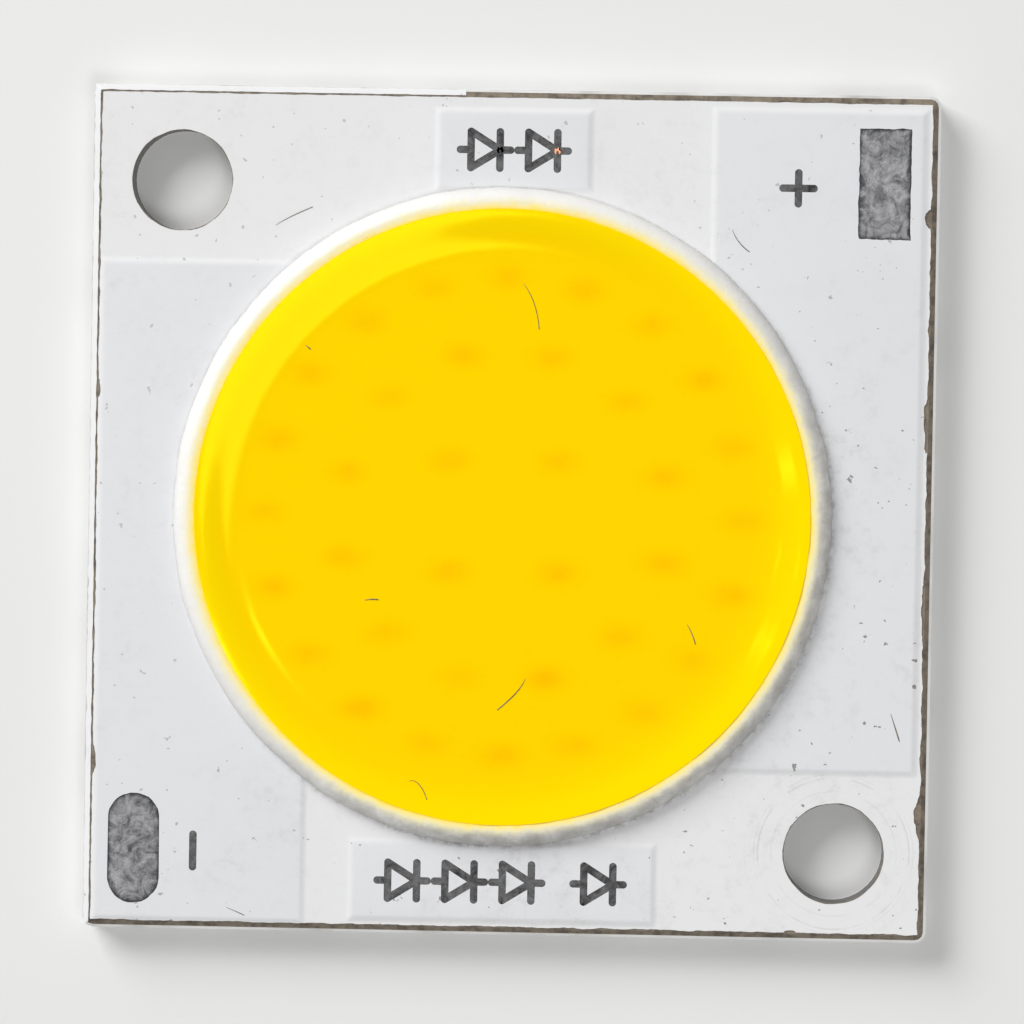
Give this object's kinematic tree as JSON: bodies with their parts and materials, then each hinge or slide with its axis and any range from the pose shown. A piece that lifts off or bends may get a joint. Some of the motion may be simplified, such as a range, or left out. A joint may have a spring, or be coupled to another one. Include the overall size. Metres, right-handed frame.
{
  "type": "cob led",
  "caption": "Square aluminium-board COB LED with a round yellow phosphor area in a white silicone dam, diagonal screw holes and two tinned solder pads.",
  "frame": {"origin": "centre of the board's back face", "axes": "+Z out of the lit side, +X to the right and +Y up with the positive pad at the upper right"},
  "size_m": [0.028, 0.028, 0.0021],
  "materials": {
    "aluminium_base": "rolled, with fine lines and light scratches on the back",
    "dielectric": "cut resin edge, brown",
    "copper": "etched foil",
    "white_coat": "satin white coat with specks and light scratches",
    "tin": "dull lumpy tinned copper",
    "white_silicone": "glossy white silicone bead",
    "phosphor_silicone": "clear glossy silicone filled with yellow phosphor",
    "die_adhesive": "silver-filled adhesive film",
    "die": "sapphire die, polished",
    "gold_wire": "bright gold"
  },
  "bodies": {
    "root": {"base_plate": "aluminium_base", "dielectric_layer": "dielectric", "copper_positive": "copper", "copper_negative": "copper", "legend_land_top": "copper", "legend_land_bottom": "copper", "solder_mask": "white_coat", "pad_positive": "tin", "pad_negative": "tin", "dam_ring": "white_silicone", "phosphor_gel": "phosphor_silicone", "die_attach": "die_adhesive", "wires_upper_string": "gold_wire", "wires_lower_string": "gold_wire", "die_outer_01": "die", "die_outer_02": "die", "die_outer_03": "die", "die_outer_04": "die", "die_outer_05": "die", "die_outer_06": "die", "die_outer_07": "die", "die_outer_08": "die", "die_outer_09": "die", "die_outer_10": "die", "die_outer_11": "die", "die_outer_12": "die", "die_outer_13": "die", "die_outer_14": "die", "die_outer_15": "die", "die_outer_16": "die", "die_outer_17": "die", "die_outer_18": "die", "die_outer_19": "die", "die_outer_20": "die", "die_middle_01": "die", "die_middle_02": "die", "die_middle_03": "die", "die_middle_04": "die", "die_middle_05": "die", "die_middle_06": "die", "die_middle_07": "die", "die_middle_08": "die", "die_middle_09": "die", "die_middle_10": "die", "die_middle_11": "die", "die_middle_12": "die", "die_inner_1": "die", "die_inner_2": "die", "die_inner_3": "die", "die_inner_4": "die"}
  },
  "joints": []
}
